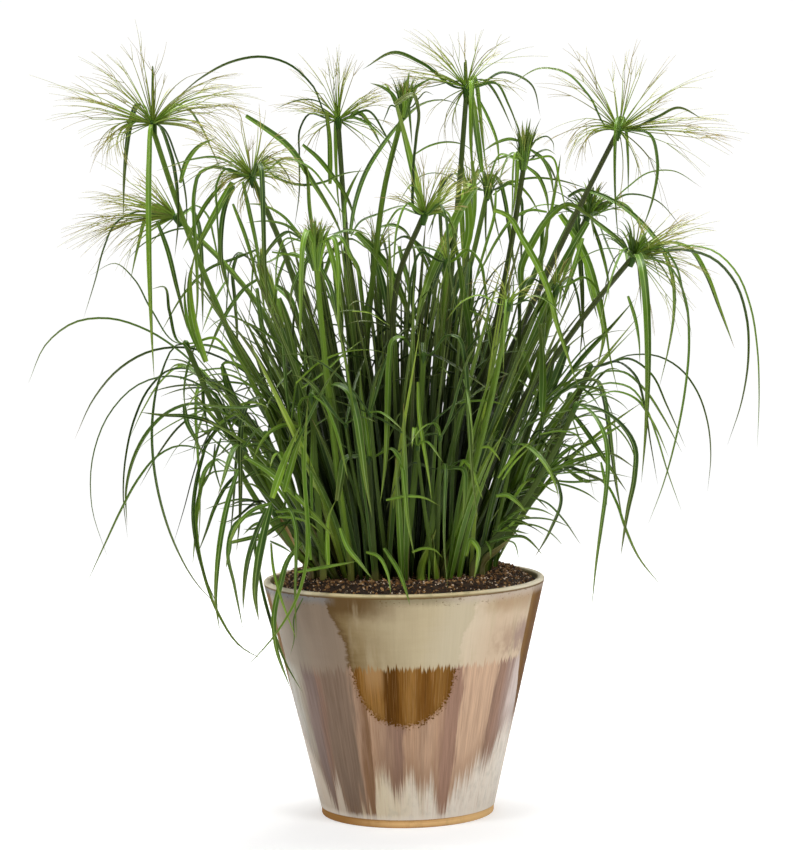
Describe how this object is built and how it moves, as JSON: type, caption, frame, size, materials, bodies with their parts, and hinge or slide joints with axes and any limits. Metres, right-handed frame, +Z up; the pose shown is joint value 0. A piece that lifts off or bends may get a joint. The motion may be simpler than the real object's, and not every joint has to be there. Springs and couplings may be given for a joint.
{
  "type": "potted papyrus plant",
  "caption": "Potted papyrus: a clump of leaning three-sided stems, each topped by arching leaves and a tuft of thin rays, in a tapered glazed ceramic planter.",
  "frame": {"origin": "middle of the pot's flat underside, on the surface it stands on", "axes": "+Z up along the pot's axis, -Y towards the viewer of the picture, +X right"},
  "size_m": [0.7586, 0.5932, 0.8449],
  "materials": {
    "glazed_pot": "glossy, streaked running glaze with a bare tan lip and foot",
    "potting_mix": "matte, coarse bark and perlite",
    "stem": "satin, ribbed green stem",
    "leaf": "satin, ribbed green blade"
  },
  "bodies": {
    "root": {"pot": "glazed_pot", "soil": "potting_mix", "culm_01": "stem", "culm_02": "stem", "culm_03": "stem", "culm_04": "stem", "culm_05": "stem", "culm_06": "stem", "culm_07": "stem", "culm_08": "stem", "culm_09": "stem", "culm_10": "stem", "culm_11": "stem", "culm_12": "stem", "culm_13": "stem", "culm_14": "stem", "culm_15": "stem", "culm_16": "stem", "culm_17": "stem", "culm_18": "stem", "culm_19": "stem", "culm_20": "stem", "crown_01": "leaf", "crown_02": "leaf", "crown_03": "leaf", "crown_04": "leaf", "crown_05": "leaf", "crown_06": "leaf", "crown_07": "leaf", "crown_08": "leaf", "crown_09": "leaf", "crown_10": "leaf", "crown_11": "leaf", "crown_12": "leaf", "crown_13": "leaf", "crown_14": "leaf", "crown_15": "leaf", "crown_16": "leaf", "crown_17": "leaf", "crown_18": "leaf", "crown_19": "leaf", "crown_20": "leaf", "shoot_01": "leaf", "shoot_02": "leaf", "shoot_03": "leaf", "shoot_04": "leaf", "shoot_05": "leaf", "shoot_06": "leaf", "shoot_07": "leaf", "shoot_08": "leaf", "shoot_09": "leaf", "shoot_10": "leaf", "shoot_11": "leaf", "shoot_12": "leaf", "shoot_13": "leaf", "shoot_14": "leaf", "shoot_15": "leaf", "shoot_16": "leaf", "shoot_17": "leaf", "shoot_18": "leaf"}
  },
  "joints": []
}
